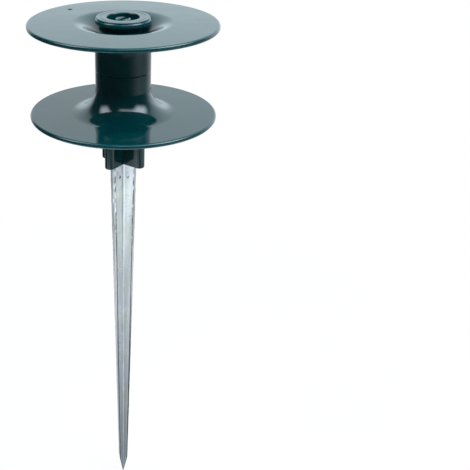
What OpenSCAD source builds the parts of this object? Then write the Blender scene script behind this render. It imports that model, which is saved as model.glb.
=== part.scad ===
// Hose guide stake: a flanged spool that turns on a spindle above a cast ground spike.
// Millimetres. The origin is on the axis at the soil line, the underside of the stake head; +Z is up.
// The spike's fins lie along X and Y.

/* [Spool] */
// Diameter of both flanges
flange_d = 130; // [90:1:180]
// Overall height of the spool, outside face to outside face of the flanges
spool_h = 65.6; // [50:0.2:90]
// Outside diameter of the barrel
barrel_d = 38.5; // [32:0.5:60]
// Wall thickness of the barrel, the flares and the flanges, whose rims are round
wall = 3.2; // [2:0.1:5]
// Radius of the hollow flare between the barrel and each flange
flare_r = 18; // [8:0.5:22]
// How much larger the rounding into the throat, on the other side of that wall, is
throat_more = 0.5; // [0:0.1:2]
// Length of the spigot that centres one half in the other
spigot_h = 6; // [3:0.5:10]
// Chamfer that shows as the seam round the barrel
seam_chamfer = 0.4; // [0.2:0.1:0.8]
// Diameter of the small tag hole in the upper flange
tag_hole_d = 3; // [1.5:0.1:5]
// Distance of the tag hole's centre from the rim
tag_hole_inset = 13.4; // [6:0.1:20]
// Direction of the tag hole round the axis, from +X
tag_hole_turn = 175; // [0:1:360]

/* [Caps] */
// Outside diameter of the cap's ring
ring_d = 37.5; // [34:0.5:50]
// Height of the ring above the flange
ring_rise = 3.6; // [1:0.1:6]
// How far the ring's edge reaches down into the throat
ring_drop = 0.9; // [0:0.1:3]
// Thickness of the raised plate on top of the ring
ring_plate_h = 0.6; // [0.3:0.1:1.5]
// Step from the ring's edge in to the raised plate
ring_step = 0.45; // [0.2:0.05:1]
// Distance of the fine groove in that plate from the ring's edge
groove_inset = 3.3; // [2:0.1:4]
// Width of that groove
groove_w = 0.6; // [0.3:0.1:1]
// Depth of that groove
groove_depth = 0.3; // [0.1:0.1:0.5]
// Diameter of the hole in the ring
recess_d = 22; // [18:0.2:24]
// Depth of that hole, down to the bearing
recess_h = 12.5; // [8:0.1:16]
// Rounding of the hole's mouth
mouth_r = 0.8; // [0.3:0.1:1.5]
// Diameter of the neck below the ring
neck_d = 25.6; // [24:0.2:31]
// Length of the bearing on the spindle
bearing_h = 13; // [6:0.5:20]
// Wall thickness of the bearing tube and of the plug's skirt
cap_wall = 2.6; // [1.5:0.1:4]
// Thickness of the floor between the hole and the hollow under it
cap_floor = 2.5; // [1.5:0.1:4]
// Space inside the barrel between the ends of the two caps
cap_space = 4.8; // [2:0.1:10]

/* [Spindle] */
// Diameter of the spindle
spindle_d = 12; // [8:0.5:14]
// Diameter of the root pressed into the stake head
root_d = 10; // [6:0.5:12]
// How far each barb stands out from the spindle
barb_out = 1.2; // [0.6:0.1:1.6]
// Height of the barb's upright edge
barb_h = 1.2; // [0.6:0.1:2]
// Length of the barb's sloping lead
barb_lead = 5; // [2:0.5:8]
// Diameter of the spindle's tip
tip_d = 10.6; // [8:0.2:12]
// Chamfer round the tip
tip_chamfer = 0.5; // [0.2:0.1:1]
// How far the tip stays below the top of the ring
tip_drop = 1.3; // [0.5:0.1:4]
// Width of the slot that splits the snap end
slot_w = 3.2; // [2:0.1:4]
// Depth of the slot
slot_h = 26; // [15:0.5:30]
// Direction of the slot round the axis, from +X
slot_turn = 97; // [0:1:180]

/* [Stake head] */
// Reach of each arm from the axis
arm_reach = 18.4; // [16:0.2:24]
// Thickness of each arm
arm_w = 7.6; // [5:0.1:10]
// Height of the arms
arm_h = 27; // [20:0.5:40]
// Diameter of the round plate on the arms
plate_d = 38; // [34:0.5:50]
// Thickness of that plate
plate_h = 3; // [2:0.1:6]
// Free space between the plate and the ring above it
ring_clear = 2.3; // [1:0.1:6]
// Thickness of the thrust washer
washer_h = 1; // [0.5:0.1:2]

/* [Spike] */
// Length of the spike below the soil line
spike_h = 297; // [200:1:360]
// Length of the point at its lower end
point_h = 17.5; // [10:0.5:30]
// Reach of each fin from the axis at the soil line
fin_reach = 11.1; // [8:0.1:14]
// Thickness of each fin at the soil line
fin_w = 3; // [2.5:0.1:6]
// Size of the section where the point begins, as a share of the one at the soil line
end_share = 0.39; // [0.2:0.01:0.8]
// Size of the blunt tip, as a share of the section where the point begins
tip_share = 0.12; // [0.05:0.01:0.4]
// Radius in the valleys between the fins
valley_r = 0.9; // [0.3:0.1:2]
// Rounding of the fins' outer edges
edge_r = 0.4; // [0.2:0.1:1]
// Length of the tang inside the stake head
tang_h = 18; // [10:0.5:22]
// Plastic left between the tang and the spindle's root
tang_web = 1.5; // [1:0.1:4]
// Diameter of the ejector marks on the front pair of fins
mark_d = 2.5; // [1.5:0.1:3]
// Depth of those marks
mark_depth = 0.4; // [0.1:0.1:0.8]
// Distance of the marks below the soil line
mark_drop = 9.6; // [5:0.1:20]
// Distance of the marks from the axis
mark_reach = 5.5; // [4:0.1:8]

/* [Fits] */
// Radial clearance of the spindle in its bearings
running_gap = 0.05; // [0.01:0.01:0.1]
// Clearance of pieces that are pressed or glued together
press_gap = 0.05; // [0.02:0.01:0.1]
// Clearance between faces that turn past one another
thrust_gap = 0.2; // [0.05:0.05:0.5]
// Clearance round the boss and the barbs, which never touch the cap
free_gap = 0.4; // [0.2:0.1:1]

/* [Hidden] */
$fn = 96;
arc_steps = 12;
overrun = 1;

flange_r = flange_d / 2;
barrel_r = barrel_d / 2;
bore_r = barrel_r - wall;
half_h = spool_h / 2;
rim_r = wall / 2;
flare_x = barrel_r + flare_r;
flare_z = half_h - wall - flare_r;
throat_r = flare_r + throat_more;
spigot_r = bore_r + wall / 2;

ring_r = ring_d / 2;
recess_r = recess_d / 2;
neck_r = neck_d / 2;
plug_r = bore_r - press_gap;
skirt_r = plug_r - cap_wall;
bead_h = ring_rise - ring_plate_h;
bead_r = bead_h / 2;
groove_r = ring_r - groove_inset;
spindle_r = spindle_d / 2;
bearing_r = spindle_r + running_gap;
tube_r = bearing_r + cap_wall;
ledge_z = ring_rise - recess_h;
bearing_z = ledge_z - bearing_h;
plug_z = -wall - flare_r;
plug_end_z = cap_space / 2 - half_h;
// Below the neck a cone widens to the plug, and the hollow inside follows it
cone_end_z = plug_z + wall;
neck_end_z = cone_end_z + plug_r - neck_r;
hollow_z = neck_end_z - cap_wall / 2;

plate_z = arm_h + plate_h;
spool_z = plate_z + ring_clear + ring_rise;
spool_top_z = spool_z + spool_h;
seam_z = spool_z + half_h;
boss_top_z = spool_z - ledge_z - thrust_gap - washer_h;
boss_r = recess_r - free_gap;
washer_r = boss_r - free_gap;
root_r = root_d / 2;
root_z = tang_h + tang_web;
arm_end = arm_reach - arm_w / 2;

barb_r = spindle_r + barb_out;
barb_z = spool_top_z + ledge_z + thrust_gap;
tip_z = spool_top_z + ring_rise - tip_drop;
tip_r = tip_d / 2;
slot_z = tip_z - slot_h;

blade_h = spike_h - point_h;
mark_share = 1 - (1 - end_share) * mark_drop / blade_h;
mark_face = mark_share * fin_w / 2;

// What the rounding takes off the corner between the flange and the throat
module throat_corner() {
    translate([bore_r, half_h - throat_r]) difference() {
        translate([-overrun, 0]) square([throat_r + overrun, throat_r + overrun]);
        translate([throat_r, 0]) circle(throat_r);
    }
}

// One half of the spool in section: the seam at the bottom, the flange at the top
module spool_section() {
    translate([bore_r, 0]) square([wall, flare_z]);
    difference() {
        translate([bore_r, flare_z]) square([flare_r + wall, flare_r + wall]);
        translate([flare_x, flare_z]) circle(flare_r);
        throat_corner();
    }
    translate([flare_x, half_h - wall]) square([flange_r - rim_r - flare_x, wall]);
    translate([flange_r - rim_r, half_h - rim_r]) circle(rim_r);
}

// The bevel at the seam, cut from the outer edge of each half
module seam_bevel() {
    polygon([
        [barrel_r - seam_chamfer - overrun, -overrun],
        [barrel_r + overrun, -overrun],
        [barrel_r + overrun, seam_chamfer + overrun],
    ]);
}

// Upper flange and barrel, with the socket for the other half's spigot and the tag hole
module upper_spool_half() {
    color("darkslategray")
    translate([0, 0, seam_z])
    difference() {
        rotate_extrude() difference() {
            spool_section();
            seam_bevel();
            translate([bore_r - overrun, -overrun])
                square([spigot_r + press_gap - bore_r + overrun, spigot_h + press_gap + overrun]);
        }
        rotate([0, 0, tag_hole_turn])
            translate([flange_r - tag_hole_inset, 0, half_h - wall - overrun])
            cylinder(d = tag_hole_d, h = wall + 2 * overrun);
    }
}

// Lower flange and barrel, with the spigot that enters the upper half
module lower_spool_half() {
    color("darkslategray")
    translate([0, 0, seam_z])
    mirror([0, 0, 1])
    rotate_extrude() {
        difference() {
            spool_section();
            seam_bevel();
        }
        translate([bore_r, -spigot_h]) square([spigot_r - bore_r, 2 * spigot_h]);
    }
}

// Points along an arc about a centre, from one angle to another
function arc(centre, radius, from, to) = [
    for (i = [0 : arc_steps])
        let (turn = from + (to - from) * i / arc_steps)
        [centre[0] + radius * cos(turn), centre[1] + radius * sin(turn)]
];

// A cap in section, with the flange's outside face at height 0
module cap_section() {
    plate_edge = ring_plate_h / 2;
    plate_r = ring_r - ring_step;
    polygon(concat(
        [
            [bearing_r, ledge_z],
            [bearing_r, bearing_z],
            [tube_r, bearing_z],
            [tube_r, ledge_z - cap_floor],
            [recess_r, ledge_z - cap_floor],
            [recess_r, hollow_z],
            [skirt_r, hollow_z + recess_r - skirt_r],
            [skirt_r, plug_end_z],
            [plug_r, plug_end_z],
            [plug_r, cone_end_z],
            [neck_r, neck_end_z],
            [neck_r, -ring_drop],
        ],
        arc([ring_r - bead_r, bead_r - ring_drop], bead_r, -90, 0),
        arc([ring_r - bead_r, bead_r], bead_r, 0, acos(1 - ring_step / bead_r)),
        [
            [plate_r, ring_rise - plate_edge],
            [plate_r - plate_edge, ring_rise],
            [groove_r + groove_w / 2, ring_rise],
            [groove_r, ring_rise - groove_depth],
            [groove_r - groove_w / 2, ring_rise],
        ],
        arc([recess_r + mouth_r, ring_rise - mouth_r], mouth_r, 90, 180),
        [[recess_r, ledge_z]]
    ));
}

// Cap of the upper flange: ring, neck, plug, and the bearing under the round hole
module top_cap() {
    color("slategray")
    translate([0, 0, spool_top_z])
    rotate_extrude() cap_section();
}

// The same cap turned over in the lower flange
module bottom_cap() {
    color("slategray")
    translate([0, 0, spool_z])
    mirror([0, 0, 1])
    rotate_extrude() cap_section();
}

// Washer between the stake head's boss and the lower cap's bearing
module thrust_washer() {
    color("ivory")
    translate([0, 0, boss_top_z])
    difference() {
        cylinder(r = washer_r, h = washer_h);
        translate([0, 0, -overrun])
            cylinder(r = bearing_r, h = washer_h + 2 * overrun);
    }
}

// Axle with a pressed root and a split snap end that holds the top cap down
module spindle() {
    color("darkgreen")
    difference() {
        rotate_extrude() polygon([
            [0, root_z],
            [root_r, root_z],
            [root_r, boss_top_z],
            [spindle_r, boss_top_z],
            [spindle_r, barb_z],
            [barb_r, barb_z],
            [barb_r, barb_z + barb_h],
            [tip_r, barb_z + barb_h + barb_lead],
            [tip_r, tip_z - tip_chamfer],
            [tip_r - tip_chamfer, tip_z],
            [0, tip_z],
        ]);
        rotate([0, 0, slot_turn]) {
            translate([-barb_r - overrun, -slot_w / 2, slot_z])
                cube([2 * (barb_r + overrun), slot_w, slot_h + overrun]);
            translate([-barb_r - overrun, 0, slot_z])
                rotate([0, 90, 0])
                cylinder(d = slot_w, h = 2 * (barb_r + overrun));
        }
    }
}

// The cross-shaped section of the spike at the soil line; grow widens it all round
module fin_section(grow = 0) {
    reach = fin_reach + grow;
    half = fin_w / 2 + grow;
    step = valley_r * (1 - cos(45));
    quarter = [
        [reach, -half + edge_r],
        [reach, half - edge_r],
        [reach - edge_r, half],
        [half + valley_r, half],
        [half + step, half + step],
        [half, half + valley_r],
        [half, reach - edge_r],
        [half - edge_r, reach],
    ];
    polygon([
        for (turn = [0 : 90 : 270])
            for (p = quarter)
                [p[0] * cos(turn) - p[1] * sin(turn), p[0] * sin(turn) + p[1] * cos(turn)]
    ]);
}

// Cast spike: tang, tapering blade and point
module ground_spike() {
    color("silver")
    difference() {
        union() {
            linear_extrude(height = tang_h) fin_section();
            mirror([0, 0, 1])
                linear_extrude(height = blade_h, scale = end_share) fin_section();
            translate([0, 0, -blade_h])
                mirror([0, 0, 1])
                linear_extrude(height = point_h, scale = tip_share)
                scale(end_share) fin_section();
        }
        translate([mark_reach, -mark_face + mark_depth, -mark_drop])
            rotate([90, 0, 0])
            cylinder(d = mark_d, h = mark_depth + overrun);
        translate([mark_face - mark_depth, -mark_reach, -mark_drop])
            rotate([0, 90, 0])
            cylinder(d = mark_d, h = mark_depth + overrun);
    }
}

// The stake head's arms in plan
module arm_section() {
    for (turn = [0, 90]) rotate(turn) {
        square([2 * arm_end, arm_w], center = true);
        for (side = [-1, 1]) translate([side * arm_end, 0]) circle(d = arm_w);
    }
}

// Moulded collar that grips the spike, with the plate and the boss that carry the spindle
module stake_head() {
    color("darkslategray")
    difference() {
        union() {
            linear_extrude(height = arm_h) arm_section();
            translate([0, 0, arm_h]) cylinder(d = plate_d, h = plate_h);
            translate([0, 0, arm_h]) cylinder(r = boss_r, h = boss_top_z - arm_h);
        }
        translate([0, 0, -overrun])
            linear_extrude(height = tang_h + press_gap + overrun) fin_section(press_gap);
        translate([0, 0, root_z - press_gap])
            cylinder(r = root_r + press_gap, h = boss_top_z - root_z + press_gap + overrun);
    }
}

ground_spike();
stake_head();
spindle();
thrust_washer();
lower_spool_half();
upper_spool_half();
bottom_cap();
top_cap();
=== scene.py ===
import bmesh
import bpy
import cmath
import math
from mathutils import Matrix, Vector, noise


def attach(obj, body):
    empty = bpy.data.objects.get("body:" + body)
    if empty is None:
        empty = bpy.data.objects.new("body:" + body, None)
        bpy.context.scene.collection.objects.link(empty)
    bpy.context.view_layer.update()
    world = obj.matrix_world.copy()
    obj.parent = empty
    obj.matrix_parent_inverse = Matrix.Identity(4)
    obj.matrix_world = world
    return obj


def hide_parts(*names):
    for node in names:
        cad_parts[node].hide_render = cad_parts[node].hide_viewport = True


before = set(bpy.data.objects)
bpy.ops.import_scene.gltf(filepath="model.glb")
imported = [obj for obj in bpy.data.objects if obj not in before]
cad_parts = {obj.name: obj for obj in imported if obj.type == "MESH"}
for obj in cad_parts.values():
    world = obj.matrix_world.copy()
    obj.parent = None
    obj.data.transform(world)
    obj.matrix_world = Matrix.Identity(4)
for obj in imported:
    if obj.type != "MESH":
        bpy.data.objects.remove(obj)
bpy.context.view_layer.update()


# Ground spike: one pressure casting in zinc alloy, cross shaped in section, tapering to a blunt point.
# Its tang is pressed up into the stake head. The die left rounded edges, a slightly wavy skin, and two
# round ejector marks on the pair of fins that face the front.

MM = 0.001
SHARP_ANGLE = 32
OVERSHOOT = 1
FIN_REACH, FIN_WIDTH, FIN_EDGE, FIN_VALLEY = 11.1, 3.0, 0.45, 0.9
SPIKE_LENGTH, POINT_LENGTH, TANG_LENGTH, TANG_LEVEL = 297.0, 17.5, 18.0, 0.5
POINT_SHARE, TIP_SHARE = 0.39, 0.12
SHANK_STEPS, POINT_STEPS = 180, 12
BESIDE_EDGE, TOLERANCE = 0.3, 0.01
WAVE_HEIGHT, WAVE_SIZE, RIPPLE_HEIGHT, RIPPLE_SIZE = 0.10, 11, 0.05, 3.1
BURR_HEIGHT, BURR_WIDTH, BURR_LENGTH = 0.2, 2, 2.6
SMOOTH_TOP = 6
END_SHADE_FROM, END_SHADE_RUN, END_SHADE_SPREAD = 80, 90, 0.9
MARK_OUT, MARK_FACE, MARK_DOWN, MARK_RADIUS, MARK_DEPTH = 5.5, 1.47, 9.6, 1.25, 0.4


def rounded(corners, step=9.0):
    """A closed outline through corners (x, y, radius), each one an arc in steps of so many degrees."""
    line = []
    for i, (x, y, radius) in enumerate(corners):
        here = complex(x, y)
        before = complex(*corners[i - 1][:2]) - here
        after = complex(*corners[(i + 1) % len(corners)][:2]) - here
        before, after = before / abs(before), after / abs(after)
        half = abs(cmath.phase(after / before)) / 2
        if radius == 0:
            line.append(here)
            continue
        centre = here + (before + after) / abs(before + after) * radius / math.sin(half)
        start = here + before * radius / math.tan(half) - centre
        sweep = cmath.phase((here + after * radius / math.tan(half) - centre) / start)
        count = max(2, math.ceil(round(abs(math.degrees(sweep)) / step, 3)))
        line += [centre + start * cmath.rect(1, sweep * k / count) for k in range(count + 1)]
    return [(p.real, p.imag) for p in line]


def fin_outline(reach, half, edge, valley, beside=0):
    """The cross-shaped section: four fins, rounded along their outer edges and in the valleys between.
    Where beside is given, there are also points at that distance from each rounding."""
    fin = [(reach, -half, edge), (reach, half, edge), (half, half, valley)]
    if beside:
        step = edge + beside
        fin = [(reach - step, -half, 0), (reach, -half, edge), (reach, step - half, 0),
               (reach, half - step, 0), (reach, half, edge), (reach - step, half, 0),
               (half, half, valley)]
    spin = [(1, 0), (0, 1), (-1, 0), (0, -1)]
    return rounded([(x * c - y * s, x * s + y * c, r) for c, s in spin for x, y, r in fin], step=15)


def smooth(piece, sharp=SHARP_ANGLE):
    """Shade a piece smooth, except along edges sharper than the angle; its flat faces stay flat."""
    piece.data.polygons.foreach_set("use_smooth", [True] * len(piece.data.polygons))
    piece.data.set_sharp_from_angle(angle=math.radians(sharp))
    piece.modifiers.new("flat_faces", "WEIGHTED_NORMAL").keep_sharp = True


def new_piece(name, points, faces, sharp=SHARP_ANGLE):
    """An object from points in millimetres, shaded smooth except along edges sharper than the angle."""
    mesh = bpy.data.meshes.new(name)
    mesh.from_pydata([[c * MM for c in p] for p in points], [], faces)
    shell = bmesh.new()
    shell.from_mesh(mesh)
    bmesh.ops.remove_doubles(shell, verts=shell.verts, dist=2e-7)
    bmesh.ops.recalc_face_normals(shell, faces=shell.faces)
    shell.to_mesh(mesh)
    shell.free()
    piece = bpy.data.objects.new(name, mesh)
    bpy.context.scene.collection.objects.link(piece)
    smooth(piece, sharp)
    return piece


def stacked(sections):
    """Points and faces of a closed solid through sections, each a list of points of the same count."""
    count = len(sections[0])
    points = [p for section in sections for p in section]
    faces = [tuple(range(count))[::-1], tuple(range(len(points) - count, len(points)))]
    for level in range(len(sections) - 1):
        for k in range(count):
            a, b = level * count + k, level * count + (k + 1) % count
            faces.append((a, b, b + count, a + count))
    return points, faces


def cut(piece, cutter):
    """Cut one piece by another, which is used up."""
    hole = piece.modifiers.new("cut", "BOOLEAN")
    hole.operation, hole.solver, hole.object = "DIFFERENCE", "EXACT", cutter
    bpy.context.view_layer.update()
    done = bpy.data.meshes.new_from_object(piece.evaluated_get(bpy.context.evaluated_depsgraph_get()))
    piece.modifiers.clear()
    piece.data = done
    smooth(piece)
    bpy.data.objects.remove(cutter)


def clamped(share):
    """A share, held between 0 and 1."""
    return min(1.0, max(0.0, share))


def spike_share(z):
    """Size of the spike's section at a height, as a share of the one at the soil line."""
    if z > POINT_LENGTH - SPIKE_LENGTH:
        return 1 - (1 - POINT_SHARE) * max(0.0, -z) / (SPIKE_LENGTH - POINT_LENGTH)
    return POINT_SHARE * (1 - (1 - TIP_SHARE) * (POINT_LENGTH - SPIKE_LENGTH - z) / POINT_LENGTH)


fin = fin_outline(FIN_REACH, FIN_WIDTH / 2, FIN_EDGE, FIN_VALLEY, BESIDE_EDGE)
fin_end, fin_side = FIN_REACH - FIN_EDGE - TOLERANCE, FIN_WIDTH / 2 - FIN_EDGE - TOLERANCE
on_edge = [max(abs(x), abs(y)) > fin_end and min(abs(x), abs(y)) > fin_side for x, y in fin]
heights = [TANG_LENGTH, TANG_LEVEL]
heights += [(POINT_LENGTH - SPIKE_LENGTH) * k / SHANK_STEPS for k in range(SHANK_STEPS)]
heights += [POINT_LENGTH * k / POINT_STEPS - SPIKE_LENGTH for k in range(POINT_STEPS, -1, -1)]
sections = []
for z in heights:
    share = spike_share(z)
    ring = []
    for (x, y), burred in zip(fin, on_edge):
        spot = Vector((x * share, y * share, z))
        wave = WAVE_HEIGHT * noise.noise(spot / WAVE_SIZE)
        wave += RIPPLE_HEIGHT * noise.noise(spot / RIPPLE_SIZE + Vector((7, 3, 1)))
        if burred:
            wave += BURR_HEIGHT * noise.noise(Vector((x / BURR_WIDTH, y / BURR_WIDTH, z / BURR_LENGTH)))
        out = Vector((x, y)).normalized() * wave * share * clamped(-z / SMOOTH_TOP)
        ring.append((spot.x + out.x, spot.y + out.y, z))
    sections.append(ring)
spike = new_piece("spike_casting", *stacked(sections), sharp=40)

# Painted shade: a dark line along every edge, and lower down also across the end of the right fin and
# beside one edge of the left fin.
right_fin_shade = [END_SHADE_SPREAD * (x > fin_end) for x, y in fin]
left_fin_shade = [END_SHADE_SPREAD * (y < -fin_end and x > fin_side - BESIDE_EDGE) for x, y in fin]
painted_shade = spike.data.attributes.new("painted_shade", "FLOAT", "POINT")
for vertex in spike.data.vertices:
    k = vertex.index % len(fin)
    low = clamped((-vertex.co.z / MM - END_SHADE_FROM) / END_SHADE_RUN)
    painted_shade.data[vertex.index].value = max(on_edge[k], low * right_fin_shade[k], low * left_fin_shade[k])

disc = [cmath.rect(MARK_RADIUS, k * math.pi / 16) for k in range(32)]
for right in (True, False):
    pin = []
    for face in (MARK_FACE - MARK_DEPTH, MARK_FACE + OVERSHOOT):
        pin.append([(MARK_OUT + p.real, -face, p.imag - MARK_DOWN) if right
                    else (face, p.real - MARK_OUT, p.imag - MARK_DOWN) for p in disc])
    cut(spike, new_piece("ejector_pin", *stacked(pin)))


def linear(code):
    """A linear colour from an sRGB hex value."""
    parts = [int(code[i:i + 2], 16) / 255 for i in (1, 3, 5)]
    return [c / 12.92 if c <= 0.04045 else ((c + 0.055) / 1.055) ** 2.4 for c in parts] + [1]


def emptied(owner):
    """The node tree of a material, a world or a lamp, with nothing in it."""
    owner.use_nodes = True
    owner.node_tree.nodes.clear()
    return owner.node_tree


def add(tree, kind, inputs=None, stops=(), **settings):
    """Add a node with its settings. An input takes a value or another node's socket, and a colour ramp
    takes stops of (position, colour)."""
    node = tree.nodes.new(kind)
    for key, value in settings.items():
        setattr(node, key, value)
    for key, value in (inputs or {}).items():
        if isinstance(value, bpy.types.NodeSocket):
            tree.links.new(value, node.inputs[key])
        else:
            node.inputs[key].default_value = value
    if stops:
        elements = node.color_ramp.elements
        while len(elements) < len(stops):
            elements.new(0.5)
        for element, (position, colour) in zip(elements, stops):
            element.position, element.color = position, colour
    return node


# Die-cast zinc, left bare: light grey with a soft sheen. Flow marks of 4 mm are drawn out to 14 mm down
# the fins, the skin is greener or bluer in patches of 22 mm, and its grain is 0.6 mm. Painted shade: dark
# broken lines along the edges, fuller lower down, and over the end of the right fin lower down. Painted
# light and shade: the colour is lighter at the top and darker towards the tip, on one side more than on
# the other.
FLOW_MARK, FLOW_DRAWN, SKIN_PATCH, SKIN_GRAIN, LINE_BREAK = 4.0, 0.28, 22.2, 0.625, 1.43
ZINC = ((0, "#F9F9F8"), (0.1, "#F4F4F3"), (0.37, "#F5F4F3"),
        (0.6, "#E2E2E2"), (0.83, "#CFCFD0"), (1, "#C5C5C7"))
zinc = bpy.data.materials.new("die_cast_zinc_bare")
tree = emptied(zinc)
place = add(tree, "ShaderNodeTexCoord").outputs["Object"]
axes = add(tree, "ShaderNodeSeparateXYZ", {0: place}).outputs
down = add(tree, "ShaderNodeMapRange", {
    "Value": axes["Z"], "From Min": -0.02, "From Max": -0.285}).outputs[0]
# Painted light and shade: the colour is lighter at the top and darker towards the tip.
tone = add(tree, "ShaderNodeValToRGB", {"Fac": down}, [(at, linear(code)) for at, code in ZINC])
long = add(tree, "ShaderNodeMapping", {"Vector": place, "Scale": (1, 1, FLOW_DRAWN)}).outputs[0]
cloud = add(tree, "ShaderNodeTexNoise", {
    "Vector": long, "Scale": 1000 / FLOW_MARK, "Detail": 5, "Roughness": 0.65}).outputs["Fac"]
patch = add(tree, "ShaderNodeTexNoise", {
    "Vector": place, "Scale": 1000 / SKIN_PATCH, "Detail": 1}).outputs["Fac"]
grain = add(tree, "ShaderNodeTexNoise", {
    "Vector": place, "Scale": 1000 / SKIN_GRAIN, "Detail": 3}).outputs["Fac"]
tint = add(tree, "ShaderNodeValToRGB", {"Fac": patch}, [
    (0.38, linear("#FBFDFA")), (0.62, linear("#F9FAFE"))])
# Painted shade: the side where x + y is above zero gets darker towards the tip.
side = add(tree, "ShaderNodeMath", {0: axes["X"], 1: axes["Y"]}, operation="ADD").outputs[0]
side = add(tree, "ShaderNodeMapRange", {
    "Value": side, "From Min": -0.001, "From Max": 0.002}).outputs[0]
side_shade = add(tree, "ShaderNodeMath", {0: side, 1: down}, operation="MULTIPLY").outputs[0]
side_shade = add(tree, "ShaderNodeMapRange", {
    "Value": side_shade, "From Min": 0.25, "To Min": 1.0, "To Max": 0.68}).outputs[0]
shade = add(tree, "ShaderNodeMapRange", {
    "Value": cloud, "From Min": 0.3, "From Max": 0.7, "To Min": 0.88, "To Max": 1.04}).outputs[0]
shade = add(tree, "ShaderNodeMath", {0: shade, 1: side_shade}, operation="MULTIPLY").outputs[0]
# Painted shade: dark broken lines along the edges and over the end of the right fin, fuller lower down.
shade_line = add(tree, "ShaderNodeAttribute", attribute_name="painted_shade").outputs["Fac"]
full = add(tree, "ShaderNodeMapRange", {"Value": down, "To Min": 1.0, "To Max": 0.5}).outputs[0]
shade_line = add(tree, "ShaderNodeMapRange", {"Value": shade_line, "From Max": full}).outputs[0]
broken = add(tree, "ShaderNodeTexNoise", {
    "Vector": long, "Scale": 1000 / LINE_BREAK, "Detail": 2}).outputs["Fac"]
broken = add(tree, "ShaderNodeMath", {0: broken, 1: down}, operation="ADD").outputs[0]
broken = add(tree, "ShaderNodeMapRange", {
    "Value": broken, "From Min": 0.38, "From Max": 0.6}).outputs[0]
dark = add(tree, "ShaderNodeMath", {0: shade_line, 1: broken}, operation="MULTIPLY").outputs[0]
dark = add(tree, "ShaderNodeMapRange", {"Value": dark, "To Min": 1.0, "To Max": 0.16}).outputs[0]
shade = add(tree, "ShaderNodeMath", {0: shade, 1: dark}, operation="MULTIPLY").outputs[0]
colour = add(tree, "ShaderNodeVectorMath", {
    0: tone.outputs["Color"], 1: tint.outputs["Color"]}, operation="MULTIPLY").outputs[0]
colour = add(tree, "ShaderNodeVectorMath", {0: colour, "Scale": shade}, operation="SCALE").outputs[0]
rough = add(tree, "ShaderNodeMapRange", {
    "Value": cloud, "From Min": 0.3, "From Max": 0.7, "To Min": 0.36, "To Max": 0.24}).outputs[0]
relief = add(tree, "ShaderNodeBump", {
    "Height": grain, "Strength": 0.35, "Distance": 0.00008}).outputs[0]
metal = add(tree, "ShaderNodeBsdfPrincipled", {
    "Base Color": colour, "Metallic": 1.0, "Roughness": rough, "Normal": relief}).outputs[0]
add(tree, "ShaderNodeOutputMaterial", {"Surface": metal})
spike.data.materials.append(zinc)

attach(spike, "stake")
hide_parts("ground_spike")


# Stake head: a collar moulded in dark green plastic, with four round-ended arms that grip the tang of
# the spike between them. The round plate on top stops dirt, and the boss above it carries the spindle.

ARM_REACH, ARM_WIDTH, ARM_HEIGHT = 18.4, 7.6, 27.0
ARM_ROUND, ARM_VALLEY, ARM_EDGE, ARM_ROOTED = 0.97, 0.05, 0.9, 0.3
PLATE_RADIUS, PLATE_TOP, BOSS_RADIUS, BOSS_BORE, BOSS_TOP = 19.0, 30.0, 10.6, 5.05, 43.6
PRESS_GAP = 0.05
BLUNT_BEND, KEEN_BEND = 0.25, 0.65
SPARED_FROM, SPARED_RUN, SPARED_SHARE = 0.35, 0.4, 0.85


def turned(name, outline, steps=192):
    """A solid of revolution from a closed outline of (radius, height) in millimetres."""
    count = len(outline)
    turns = [2 * math.pi * i / steps for i in range(steps)]
    points = [(r * math.cos(a), r * math.sin(a), z) for a in turns for r, z in outline]
    faces = []
    for i in range(steps):
        j = (i + 1) % steps
        for k in range(count):
            n = (k + 1) % count
            faces.append((i * count + k, j * count + k, j * count + n, i * count + n))
    return new_piece(name, points, faces)


def joined(piece, other):
    """Add another piece's mesh to a piece; the other is used up."""
    shell = bmesh.new()
    shell.from_mesh(piece.data)
    shell.from_mesh(other.data)
    shell.to_mesh(piece.data)
    shell.free()
    bpy.data.objects.remove(other)


def mark_edge_highlight(piece, beyond=0.0, spared=None):
    """Note how strongly each point that lies further from the axis than so many millimetres gets the
    painted highlight and the rougher skin: from 0 on an edge with a radius of 4 mm to 1 at 1.5 mm and
    less. Along the spared direction, both ways, the edges get less of both."""
    shell = bmesh.new()
    shell.from_mesh(piece.data)
    edge_highlight_and_rub = piece.data.attributes.new("edge_highlight_and_rub", "FLOAT", "POINT")
    for vertex in shell.verts:
        if vertex.co.xy.length < beyond * MM:
            continue
        bend = 0.0
        for edge in vertex.link_edges:
            if len(edge.link_faces) == 2:
                area = sum(face.calc_area() for face in edge.link_faces) / 2
                bend = max(bend, edge.calc_face_angle_signed(0) * edge.calc_length() / max(area, 1e-12))
        amount = clamped((bend * MM - BLUNT_BEND) / (KEEN_BEND - BLUNT_BEND))
        if spared is not None:
            aside = abs(vertex.co.xy.normalized().dot(spared))
            amount *= 1 - SPARED_SHARE * clamped((aside - SPARED_FROM) / SPARED_RUN)
        edge_highlight_and_rub.data[vertex.index].value = amount
    shell.free()


def arm_outline(inset):
    """The four arms' outline, drawn in by so many millimetres all round."""
    half = ARM_WIDTH / 2 - inset
    return fin_outline(ARM_REACH - inset, half, half * ARM_ROUND, ARM_VALLEY + inset)


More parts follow.
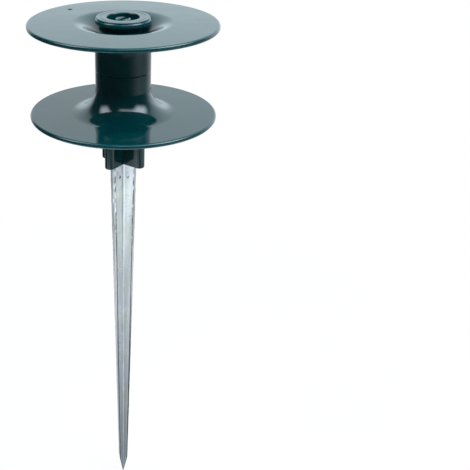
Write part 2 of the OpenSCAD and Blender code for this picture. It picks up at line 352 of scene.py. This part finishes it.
levels = []
for k in range(7):
    arc = k * math.pi / 12
    levels.append((ARM_EDGE * (1 - math.cos(arc)), ARM_EDGE * (1 - math.sin(arc))))
levels += [(ARM_HEIGHT / 2, 0.0), (ARM_HEIGHT + ARM_ROOTED, 0.0)]
arms = [[(x, y, z) for x, y in arm_outline(inset)] for z, inset in levels]
head = new_piece("stake_head_moulding", *stacked(arms))
tang = fin_outline(FIN_REACH + PRESS_GAP, FIN_WIDTH / 2 + PRESS_GAP, FIN_EDGE, FIN_VALLEY)
socket = [[(x, y, z) for x, y in tang] for z in (-OVERSHOOT, TANG_LENGTH + PRESS_GAP)]
cut(head, new_piece("socket", *stacked(socket)))
joined(head, turned("plate", rounded([
    (BOSS_BORE, BOSS_TOP, 0.2), (BOSS_BORE, ARM_HEIGHT, 0),
    (PLATE_RADIUS, ARM_HEIGHT, 0.6), (PLATE_RADIUS, PLATE_TOP, 0.6),
    (BOSS_RADIUS, PLATE_TOP, 0.8), (BOSS_RADIUS, BOSS_TOP, 0.4)])))
# Painted highlight and a rougher skin on every rounded edge of the head.
mark_edge_highlight(head)

# Polished moulded polypropylene, dark blue-green: a mirror-like skin with a faint orange peel of 1.4 mm,
# slow waves of 20 mm from shrinkage, rings of 1 mm from the turned and polished mould, and streaks of
# 22 mm from the flow. Handling left dull rub marks of 8 mm. The rounded edges are rougher and carry a
# painted highlight, a paler colour in patches of 2 mm.
PEEL, SLOW_WAVE, MOULD_RING, FLOW_STREAK, RUB_MARK, HIGHLIGHT_PATCH = 1.43, 20.0, 1.0, 22.2, 7.7, 2.0
GREEN_DARK, GREEN_LIGHT, GREEN_PAINTED_HIGHLIGHT = "#002C30", "#023538", "#124D51"
green = bpy.data.materials.new("polypropylene_polished_moulding")
tree = emptied(green)
place = add(tree, "ShaderNodeTexCoord").outputs["Object"]
flow = add(tree, "ShaderNodeTexNoise", {
    "Vector": place, "Scale": 1000 / FLOW_STREAK, "Detail": 3, "Distortion": 0.6}).outputs["Fac"]
peel = add(tree, "ShaderNodeTexNoise", {
    "Vector": place, "Scale": 1000 / PEEL, "Detail": 1}).outputs["Fac"]
wave = add(tree, "ShaderNodeTexNoise", {
    "Vector": place, "Scale": 1000 / SLOW_WAVE, "Detail": 1}).outputs["Fac"]
rub = add(tree, "ShaderNodeTexNoise", {
    "Vector": place, "Scale": 1000 / RUB_MARK, "Detail": 6, "Roughness": 0.7}).outputs["Fac"]
away = add(tree, "ShaderNodeVectorMath", {0: place, 1: (1, 1, 0)}, operation="MULTIPLY").outputs[0]
away = add(tree, "ShaderNodeVectorMath", {0: away}, operation="LENGTH").outputs["Value"]
rings = add(tree, "ShaderNodeTexNoise", {
    "W": away, "Scale": 1000 / MOULD_RING, "Detail": 2}, noise_dimensions="1D").outputs["Fac"]
highlight_patch = add(tree, "ShaderNodeTexNoise", {
    "Vector": place, "Scale": 1000 / HIGHLIGHT_PATCH, "Detail": 4}).outputs["Fac"]
highlight_patch = add(tree, "ShaderNodeMapRange", {
    "Value": highlight_patch, "From Min": 0.3, "From Max": 0.7, "To Min": 0.3, "To Max": 0.8}).outputs[0]
edge_highlight_and_rub = add(tree, "ShaderNodeAttribute", attribute_name="edge_highlight_and_rub").outputs["Fac"]
edge_highlight_and_rub = add(tree, "ShaderNodeMath", {0: edge_highlight_and_rub, 1: highlight_patch}, operation="MULTIPLY").outputs[0]
tone = add(tree, "ShaderNodeValToRGB", {"Fac": flow}, [
    (0.3, linear(GREEN_DARK)), (0.7, linear(GREEN_LIGHT))])
# Painted highlight: the rounded edges are paler in patches.
tone = add(tree, "ShaderNodeMix", {
    0: edge_highlight_and_rub, 6: tone.outputs["Color"], 7: linear(GREEN_PAINTED_HIGHLIGHT)}, data_type="RGBA").outputs[2]
rough = add(tree, "ShaderNodeMapRange", {
    "Value": rub, "From Min": 0.35, "From Max": 0.75, "To Min": 0.06, "To Max": 0.12}).outputs[0]
rough = add(tree, "ShaderNodeMath", {0: rings, 1: 0.03, 2: rough}, operation="MULTIPLY_ADD").outputs[0]
rough = add(tree, "ShaderNodeMath", {0: edge_highlight_and_rub, 1: 0.1, 2: rough}, operation="MULTIPLY_ADD").outputs[0]
slow = add(tree, "ShaderNodeBump", {"Height": wave, "Strength": 0.25, "Distance": 0.0003}).outputs[0]
fine = add(tree, "ShaderNodeBump", {
    "Height": peel, "Strength": 0.06, "Distance": 0.00005, "Normal": slow}).outputs[0]
plastic = add(tree, "ShaderNodeBsdfPrincipled", {
    "Base Color": tone, "Roughness": rough, "IOR": 1.5, "Normal": fine}).outputs[0]
add(tree, "ShaderNodeOutputMaterial", {"Surface": plastic})
head.data.materials.append(green)

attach(head, "stake")
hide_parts("stake_head")


# Spindle: the axle the spool turns on, moulded in the same colour, with its root pressed into the boss.
# A slot splits its top into two springy prongs, whose barbs hold the top cap down.

SHAFT_RADIUS, ROOT_RADIUS, ROOT_FOOT = 6.0, 5.0, 19.5
BARB_FOOT, BARB_RADIUS, BARB_HEIGHT, BARB_SLOPE = 92.8, 7.2, 1.2, 5.0
TIP_TOP, TIP_RADIUS = 103.8, 5.3
SLOT_WIDTH, SLOT_FOOT, SLOT_TURN, SLOT_REACH, SLOT_ABOVE = 3.2, 77.6, 97.0, 9, 2
BEVEL_FOOT, BEVEL_ABOVE, BEVEL_OUT = 0.35, 0.45, 0.8

spindle = turned("spindle_moulding", rounded([
    (0, ROOT_FOOT, 0), (ROOT_RADIUS, ROOT_FOOT, 0.5), (ROOT_RADIUS, BOSS_TOP, 0.1),
    (SHAFT_RADIUS, BOSS_TOP, 0.2), (SHAFT_RADIUS, BARB_FOOT, 0.15), (BARB_RADIUS, BARB_FOOT, 0.15),
    (BARB_RADIUS, BARB_FOOT + BARB_HEIGHT, 0.5),
    (TIP_RADIUS, BARB_FOOT + BARB_HEIGHT + BARB_SLOPE, 1.0),
    (TIP_RADIUS, TIP_TOP, 0.5), (0, TIP_TOP, 0)]), steps=96)
half = SLOT_WIDTH / 2
right = [(half, SLOT_FOOT - half, 1.5), (half, TIP_TOP - BEVEL_FOOT, 0.3),
         (half + BEVEL_OUT, TIP_TOP + BEVEL_ABOVE, 0), (half + BEVEL_OUT, TIP_TOP + SLOT_ABOVE, 0)]
left = [(-x, z, radius) for x, z, radius in reversed(right)]
slot = rounded(left[-1:] + right + left[:-1])
along = cmath.rect(1, math.radians(SLOT_TURN))
blade = []
for end in (-SLOT_REACH, SLOT_REACH):
    spots = [((end + 1j * x) * along, z) for x, z in slot]
    blade.append([(p.real, p.imag, z) for p, z in spots])
cut(spindle, new_piece("slot", *stacked(blade)))

# Moulded acetal, dark blue-green: as dark as the rest, but duller and waxy, with a grain of 1 mm.
ACETAL_GRAIN = 1.0
acetal = bpy.data.materials.new("acetal_satin_moulding")
tree = emptied(acetal)
place = add(tree, "ShaderNodeTexCoord").outputs["Object"]
grain = add(tree, "ShaderNodeTexNoise", {
    "Vector": place, "Scale": 1000 / ACETAL_GRAIN, "Detail": 3}).outputs["Fac"]
tone = add(tree, "ShaderNodeValToRGB", {"Fac": grain}, [(0, linear("#032A2D")), (1, linear("#0A4043"))])
rough = add(tree, "ShaderNodeMapRange", {
    "Value": grain, "From Min": 0.3, "From Max": 0.7, "To Min": 0.16, "To Max": 0.26}).outputs[0]
relief = add(tree, "ShaderNodeBump", {"Height": grain, "Strength": 0.1, "Distance": 0.00005}).outputs[0]
waxy = add(tree, "ShaderNodeBsdfPrincipled", {
    "Base Color": tone.outputs["Color"], "Roughness": rough, "IOR": 1.48, "Normal": relief}).outputs[0]
add(tree, "ShaderNodeOutputMaterial", {"Surface": waxy})
spindle.data.materials.append(acetal)

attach(spindle, "stake")
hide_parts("spindle")


# Thrust washer: a thin moulded ring of natural nylon. It lies loose round the spindle on the boss, and
# carries the spool's weight.

WASHER_BORE, WASHER_RADIUS, WASHER_HEIGHT = 6.05, 10.2, 1.0

washer = turned("thrust_washer_nylon", rounded([
    (WASHER_BORE, BOSS_TOP, 0.1), (WASHER_RADIUS, BOSS_TOP, 0.2),
    (WASHER_RADIUS, BOSS_TOP + WASHER_HEIGHT, 0.2), (WASHER_BORE, BOSS_TOP + WASHER_HEIGHT, 0.1)]),
    steps=96)

# Natural nylon, as moulded: warm white, waxy, with a faint speckle of about 0.8 mm.
NYLON_SPECK = 0.83
nylon = bpy.data.materials.new("nylon_natural_moulding")
tree = emptied(nylon)
place = add(tree, "ShaderNodeTexCoord").outputs["Object"]
speck = add(tree, "ShaderNodeTexNoise", {
    "Vector": place, "Scale": 1000 / NYLON_SPECK, "Detail": 2}).outputs["Fac"]
tone = add(tree, "ShaderNodeValToRGB", {"Fac": speck}, [(0, linear("#CFC8B8")), (1, linear("#E2DDD0"))])
relief = add(tree, "ShaderNodeBump", {"Height": speck, "Strength": 0.1, "Distance": 0.00005}).outputs[0]
waxy = add(tree, "ShaderNodeBsdfPrincipled", {
    "Base Color": tone.outputs["Color"], "Roughness": 0.45, "IOR": 1.53, "Normal": relief}).outputs[0]
add(tree, "ShaderNodeOutputMaterial", {"Surface": waxy})
washer.data.materials.append(nylon)

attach(washer, "stake")
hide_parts("thrust_washer")


# Spool halves: two trumpet-shaped mouldings that meet half way up the barrel. The lower one's spigot is
# glued into the upper one. The rims are rounded, so that they don't chafe the hose. Their rounded edges
# carry a painted highlight and a rougher skin, most towards the front and the back of the view and least
# at its sides.

SEAM, SEAM_BEVEL, HALF_HEIGHT, WALL = 68.7, 0.4, 32.8, 3.2
BARREL_RADIUS, FLARE_RADIUS, THROAT_RADIUS = 19.25, 18.0, 18.5
FLANGE_RADIUS, RIM_ROUND, RIM_BAND = 65.0, 1.45, 4
SPIGOT_RADIUS, SPIGOT_HEIGHT, GLUE_GAP = 17.65, 6.0, 0.05
TAG_HOLE_IN, TAG_HOLE_TURN, TAG_HOLE_RADIUS, TAG_HOLE_MOUTH = 13.4, 175, 1.5, 2.2
MOUTH_DEPTH, MOUTH_ABOVE = 0.4, 0.3
SPARED_TURN = 38.5

bore = BARREL_RADIUS - WALL
flange = [
    (BARREL_RADIUS - SEAM_BEVEL, 0, 0.08), (BARREL_RADIUS, SEAM_BEVEL, 0.2),
    (BARREL_RADIUS, HALF_HEIGHT - WALL, FLARE_RADIUS),
    (FLANGE_RADIUS, HALF_HEIGHT - WALL, RIM_ROUND), (FLANGE_RADIUS, HALF_HEIGHT, RIM_ROUND),
    (bore, HALF_HEIGHT, THROAT_RADIUS)]
upper_outline = rounded(flange + [
    (bore, SPIGOT_HEIGHT + GLUE_GAP, 0.2), (SPIGOT_RADIUS + GLUE_GAP, SPIGOT_HEIGHT + GLUE_GAP, 0.2),
    (SPIGOT_RADIUS + GLUE_GAP, 0, 0.2)], step=4.5)
lower_outline = rounded(flange + [
    (bore, -SPIGOT_HEIGHT, 0.3), (SPIGOT_RADIUS, -SPIGOT_HEIGHT, 0.5),
    (SPIGOT_RADIUS, 0, 0.1)], step=4.5)
upper = turned("upper_spool_moulding", [(r, SEAM + z) for r, z in upper_outline], steps=256)
lower = turned("lower_spool_moulding", [(r, SEAM - z) for r, z in lower_outline], steps=256)
spared_way = Vector((math.cos(math.radians(SPARED_TURN)), math.sin(math.radians(SPARED_TURN))))
# Painted highlight and a rougher skin on the rims, least at the sides of the view.
for half in (upper, lower):
    mark_edge_highlight(half, FLANGE_RADIUS - RIM_BAND, spared_way)

top = SEAM + HALF_HEIGHT
under = top - WALL
drill = turned("drill", rounded([
    (0, under - OVERSHOOT, 0), (TAG_HOLE_MOUTH, under - OVERSHOOT, 0),
    (TAG_HOLE_MOUTH, under - MOUTH_ABOVE, 0),
    (TAG_HOLE_RADIUS, under + MOUTH_DEPTH, 0.2), (TAG_HOLE_RADIUS, top - MOUTH_DEPTH, 0.2),
    (TAG_HOLE_MOUTH, top + MOUTH_ABOVE, 0), (TAG_HOLE_MOUTH, top + OVERSHOOT, 0),
    (0, top + OVERSHOOT, 0)]), steps=32)
hole = cmath.rect(FLANGE_RADIUS - TAG_HOLE_IN, math.radians(TAG_HOLE_TURN))
drill.data.transform(Matrix.Translation((hole.real * MM, hole.imag * MM, 0)))
cut(upper, drill)

for half, node in ((upper, "upper_spool_half"), (lower, "lower_spool_half")):
    half.data.materials.append(green)
    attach(half, "spool")
    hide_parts(node)


# Caps: the same moulding in both flanges. A ring stands a little above the flange, its neck goes down
# the throat, and its plug is pressed into the barrel. The spindle's bearing is under the round hole.

RING_RADIUS, RING_RISE, RING_FOOT, STEP_WIDTH, STEP_HEIGHT = 18.75, 3.6, -0.9, 0.6, 0.65
GROOVE_RADIUS, GROOVE_WIDTH, GROOVE_DEPTH = 15.45, 0.6, 0.3
RECESS_RADIUS, LEDGE, LEDGE_WALL = 11.0, -8.9, 2.5
BEARING_RADIUS, BEARING_FOOT, TUBE_RADIUS = 6.05, -21.9, 8.65
NECK_RADIUS, NECK_FOOT, PLUG_RADIUS, PLUG_TOP, PLUG_FOOT = 12.8, -14.8, 16.0, -18.0, -30.4
SKIRT_RADIUS, SKIRT_TOP, RECESS_FOOT = 13.4, -18.5, -16.1
RING_BAND = 2

cap = rounded([
    (BEARING_RADIUS, LEDGE, 0.25), (BEARING_RADIUS, BEARING_FOOT, 0.3),
    (TUBE_RADIUS, BEARING_FOOT, 0.3), (TUBE_RADIUS, LEDGE - LEDGE_WALL, 0.5),
    (RECESS_RADIUS, LEDGE - LEDGE_WALL, 0.5), (RECESS_RADIUS, RECESS_FOOT, 0.5),
    (SKIRT_RADIUS, SKIRT_TOP, 0.5), (SKIRT_RADIUS, PLUG_FOOT, 0.3),
    (PLUG_RADIUS, PLUG_FOOT, 0.6), (PLUG_RADIUS, PLUG_TOP, 0.5),
    (NECK_RADIUS, NECK_FOOT, 1.0), (NECK_RADIUS, RING_FOOT, 0.6),
    (RING_RADIUS, RING_FOOT, 1.4), (RING_RADIUS, RING_RISE - STEP_HEIGHT, 1.5),
    (RING_RADIUS - STEP_WIDTH, RING_RISE - STEP_HEIGHT, 0.1),
    (RING_RADIUS - STEP_WIDTH, RING_RISE, 0.35),
    (GROOVE_RADIUS + GROOVE_WIDTH / 2, RING_RISE, 0.1), (GROOVE_RADIUS, RING_RISE - GROOVE_DEPTH, 0.1),
    (GROOVE_RADIUS - GROOVE_WIDTH / 2, RING_RISE, 0.1),
    (RECESS_RADIUS, RING_RISE, 0.8), (RECESS_RADIUS, LEDGE, 0.5)])
for name, node, foot, way in (
        ("top_cap_moulding", "top_cap", top, 1),
        ("bottom_cap_moulding", "bottom_cap", SEAM - HALF_HEIGHT, -1)):
    piece = turned(name, [(r, foot + way * z) for r, z in cap])
    # Painted highlight and a rougher skin on the ring's outer band.
    mark_edge_highlight(piece, RING_RADIUS - RING_BAND)
    piece.data.materials.append(green)
    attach(piece, "spool")
    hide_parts(node)


# Studio: a pale paper floor under the spike's point, a white sweep behind, and a darker room behind the
# camera. The light is soft: one lamp overhead, a box at each side of the camera and a strip between
# them, a fill from the right, and three small cards close to the collar and the spike.

CAMERA_TURN = math.radians(38.5)
CAMERA_OUT, CAMERA_HEIGHT, CAMERA_DIP = 0.5655, 0.2424, 28.14
FILM_WIDTH, LENS, LENS_SHIFT = 36, 64.74, 0.238
FLOOR_RADIUS, FLOOR_DROP = 1600, 0.6
WHITE, PAPER_GREY, COOL_LIGHT, COOL_ROOM = "#FFFFFF", "#E4E4E4", "#EBF7FF", "#E8F8FF"


def greys(levels):
    """Stops of a colour ramp from (position, brightness)."""
    return [(at, (level, level, level, 1)) for at, level in levels]


rim = [cmath.rect(FLOOR_RADIUS, k * math.pi / 48) for k in range(96)]
ground = -SPIKE_LENGTH - FLOOR_DROP
floor = new_piece("floor", [(p.real, p.imag, ground) for p in rim], [tuple(range(len(rim)))])

# Matt white paper: it looks white, with a faint shadow round the spike's point. In a mirror it glows:
# white close to the stake, and beyond that with painted light as bright as the light that falls there,
# given here from the camera round by the left side, the sweep and the right side.
FLOOR_LIGHT = (
    (0, 0.05), (0.3, 0.04), (0.34, 0.1), (0.4, 0.42), (0.45, 0.85), (0.57, 0.9), (0.66, 0.85),
    (0.69, 0.6), (0.72, 0.5), (0.77, 0.58), (0.815, 0.7), (0.854, 0.5), (0.89, 0.24), (0.93, 0.1),
    (0.96, 0.05), (1, 0.05))
paper = bpy.data.materials.new("paper_white_matt")
tree = emptied(paper)
ray = add(tree, "ShaderNodeLightPath").outputs
place = add(tree, "ShaderNodeTexCoord").outputs["Object"]
far = add(tree, "ShaderNodeVectorMath", {0: place}, operation="LENGTH").outputs["Value"]
white = add(tree, "ShaderNodeMapRange", {
    "Value": far, "From Min": 0.36, "From Max": 0.6, "To Min": 0.9, "To Max": 1.0}).outputs[0]
shown = add(tree, "ShaderNodeMath", {
    0: ray["Is Camera Ray"], 1: ray["Is Glossy Ray"]}, operation="MAXIMUM").outputs[0]
shown = add(tree, "ShaderNodeMath", {
    0: shown, 1: ray["Is Transmission Ray"]}, operation="MAXIMUM").outputs[0]
bright = add(tree, "ShaderNodeMath", {0: shown, 1: white}, operation="MULTIPLY").outputs[0]
matt = add(tree, "ShaderNodeBsdfDiffuse", {"Color": linear(PAPER_GREY)}).outputs[0]
front = add(tree, "ShaderNodeMapping", {"Vector": place, "Rotation": (0, 0, -CAMERA_TURN)}).outputs[0]
axes = add(tree, "ShaderNodeSeparateXYZ", {0: front}).outputs
turn = add(tree, "ShaderNodeMath", {0: axes["X"], 1: axes["Y"]}, operation="ARCTAN2").outputs[0]
turn = add(tree, "ShaderNodeMapRange", {
    "Value": turn, "From Min": -math.pi, "From Max": math.pi}).outputs[0]
lit = add(tree, "ShaderNodeValToRGB", {"Fac": turn}, greys(FLOOR_LIGHT)).outputs["Color"]
beyond = add(tree, "ShaderNodeMapRange", {"Value": far, "From Min": 0.5, "From Max": 0.6}).outputs[0]
lit = add(tree, "ShaderNodeMath", {0: lit, 1: beyond}, operation="MULTIPLY").outputs[0]
near = add(tree, "ShaderNodeVectorMath", {0: front, 1: (1.6, 2, 0)}, operation="MULTIPLY").outputs[0]
near = add(tree, "ShaderNodeVectorMath", {0: near}, operation="LENGTH").outputs["Value"]
near = add(tree, "ShaderNodeMapRange", {
    "Value": near, "From Min": 0.62, "From Max": 0.76, "To Min": 1.0, "To Max": 0.0}).outputs[0]
grey = add(tree, "ShaderNodeMath", {0: near, 1: lit}, operation="MAXIMUM").outputs[0]
grey = add(tree, "ShaderNodeMath", {0: grey, 1: ray["Is Camera Ray"]}, operation="MAXIMUM").outputs[0]
cool = add(tree, "ShaderNodeMix", {
    0: ray["Is Camera Ray"], 6: linear(COOL_LIGHT), 7: linear(WHITE)}, data_type="RGBA").outputs[2]
glow = add(tree, "ShaderNodeEmission", {"Color": cool, "Strength": grey}).outputs[0]
mixed = add(tree, "ShaderNodeMixShader", {0: bright, 1: matt, 2: glow}).outputs[0]
add(tree, "ShaderNodeOutputMaterial", {"Surface": mixed})
floor.data.materials.append(paper)

# The room: how bright it is round about, in the floor's order, and from straight down to straight up.
ROUND_ABOUT = (
    (0, 0.03), (0.345, 0.03), (0.365, 0.1), (0.385, 0.5), (0.4, 0.76), (0.43, 0.8), (0.5, 0.775),
    (0.53, 0.82), (0.56, 0.95), (0.6, 1.0), (0.645, 1.0), (0.665, 0.85), (0.69, 0.45), (0.715, 0.2),
    (0.745, 0.05), (0.8, 0.03), (1, 0.03))
UPWARD = (
    (0, 0.7), (0.33, 0.7), (0.47, 0.72), (0.52, 0.88), (0.555, 1.0), (0.595, 1.0), (0.64, 0.83),
    (0.73, 0.83), (0.8, 0.78), (0.85, 0.65), (0.9, 0.45), (1, 0.4))
ROOM_POWER = 2.0
world = bpy.data.worlds.new("studio")
bpy.context.scene.world = world
tree = emptied(world)
ray = add(tree, "ShaderNodeLightPath").outputs
look = add(tree, "ShaderNodeTexCoord").outputs["Generated"]
look = add(tree, "ShaderNodeMapping", {"Vector": look, "Rotation": (0, 0, -CAMERA_TURN)}).outputs[0]
axes = add(tree, "ShaderNodeSeparateXYZ", {0: look}).outputs
turn = add(tree, "ShaderNodeMath", {0: axes["X"], 1: axes["Y"]}, operation="ARCTAN2").outputs[0]
turn = add(tree, "ShaderNodeMapRange", {
    "Value": turn, "From Min": -math.pi, "From Max": math.pi}).outputs[0]
turn = add(tree, "ShaderNodeValToRGB", {"Fac": turn}, greys(ROUND_ABOUT)).outputs["Color"]
climb = add(tree, "ShaderNodeMapRange", {
    "Value": axes["Z"], "From Min": -1.0, "From Max": 1.0}).outputs[0]
climb = add(tree, "ShaderNodeValToRGB", {"Fac": climb}, greys(UPWARD)).outputs["Color"]
sweep = add(tree, "ShaderNodeMath", {0: turn, 1: climb}, operation="MULTIPLY").outputs[0]
sweep = add(tree, "ShaderNodeMath", {0: sweep, 1: ROOM_POWER}, operation="MULTIPLY").outputs[0]
room = add(tree, "ShaderNodeBackground", {"Color": linear(COOL_ROOM), "Strength": sweep}).outputs[0]
plain = add(tree, "ShaderNodeBackground", {"Color": linear(WHITE), "Strength": 1.0}).outputs[0]
both = add(tree, "ShaderNodeMixShader", {0: ray["Is Camera Ray"], 1: room, 2: plain}).outputs[0]
add(tree, "ShaderNodeOutputWorld", {"Surface": both})

# Lamps: degrees to the right of the camera and upwards, metres from the axis and above the soil line,
# width and depth in metres, and watts. They fade to their edges, and the boxes are dimmer mirrored twice.
LAMPS = (
    ("overhead", 180, 75, 1.3, 0.06, 1.0, 0.8, 1.5),
    ("left_box", -77, 48, 1.3, 0.06, 1.05, 1.5, 36.0),
    ("right_box", 72, 47, 1.3, 0.06, 1.4, 1.5, 64.0),
    ("front_strip", 15, 50, 1.3, 0.06, 1.5, 0.65, 13.0),
    ("collar_card", 50, 0, 0.12, -0.03, 0.4, 0.09, 0.055),
    ("spike_card", -30, 0, 0.12, -0.095, 0.2, 0.17, 0.28),
    ("side_card", -64, 0, 0.13, -0.07, 0.06, 0.1, 0.034),
    ("right_fill", 62, 8, 1.3, 0.06, 1.0, 1.0, 5.0))
for name, side, rise, away, height, width, depth, power in LAMPS:
    lamp = bpy.data.lights.new(name, "AREA")
    lamp.shape, lamp.size, lamp.size_y, lamp.energy = "RECTANGLE", width, depth, power
    tree = emptied(lamp)
    spot = add(tree, "ShaderNodeNewGeometry").outputs["Parametric"]
    spot = add(tree, "ShaderNodeSeparateXYZ", {0: spot}).outputs
    fades = []
    for share in spot[:2]:
        inward = add(tree, "ShaderNodeMath", {0: share, 1: 0.5}, operation="PINGPONG").outputs[0]
        fades.append(add(tree, "ShaderNodeMapRange", {
            "Value": inward, "From Max": 0.4}, interpolation_type="SMOOTHSTEP").outputs[0])
    fade = add(tree, "ShaderNodeMath", {0: fades[0], 1: fades[1]}, operation="MULTIPLY").outputs[0]
    if "box" in name:
        again = add(tree, "ShaderNodeLightPath").outputs["Glossy Depth"]
        again = add(tree, "ShaderNodeMapRange", {
            "Value": again, "From Min": 1.0, "From Max": 2.0, "To Min": 1.0, "To Max": 0.3}).outputs[0]
        fade = add(tree, "ShaderNodeMath", {0: fade, 1: again}, operation="MULTIPLY").outputs[0]
    soft = add(tree, "ShaderNodeEmission", {"Color": linear(COOL_LIGHT), "Strength": fade}).outputs[0]
    add(tree, "ShaderNodeOutputLight", {0: soft})
    box = bpy.data.objects.new(name, lamp)
    side, rise = CAMERA_TURN - math.pi / 2 + math.radians(side), math.radians(rise)
    way = Vector((math.cos(side) * math.cos(rise), math.sin(side) * math.cos(rise), math.sin(rise)))
    box.location = way * away + Vector((0, 0, height))
    box.rotation_euler = way.to_track_quat("Z", "Y").to_euler()
    box.visible_camera = False
    box.visible_glossy = name != "right_fill"
    box.visible_diffuse = "card" not in name
    bpy.context.scene.collection.objects.link(box)

camera = bpy.data.objects.new("camera", bpy.data.cameras.new("camera"))
camera.data.sensor_width, camera.data.lens, camera.data.shift_x = FILM_WIDTH, LENS, LENS_SHIFT
camera.data.clip_start = 0.01
camera.location = (
    CAMERA_OUT * math.sin(CAMERA_TURN), -CAMERA_OUT * math.cos(CAMERA_TURN), CAMERA_HEIGHT)
camera.rotation_euler = (math.radians(90 - CAMERA_DIP), 0, CAMERA_TURN)
bpy.context.scene.collection.objects.link(camera)
bpy.context.scene.camera = camera
bpy.context.scene.view_settings.view_transform = "Standard"
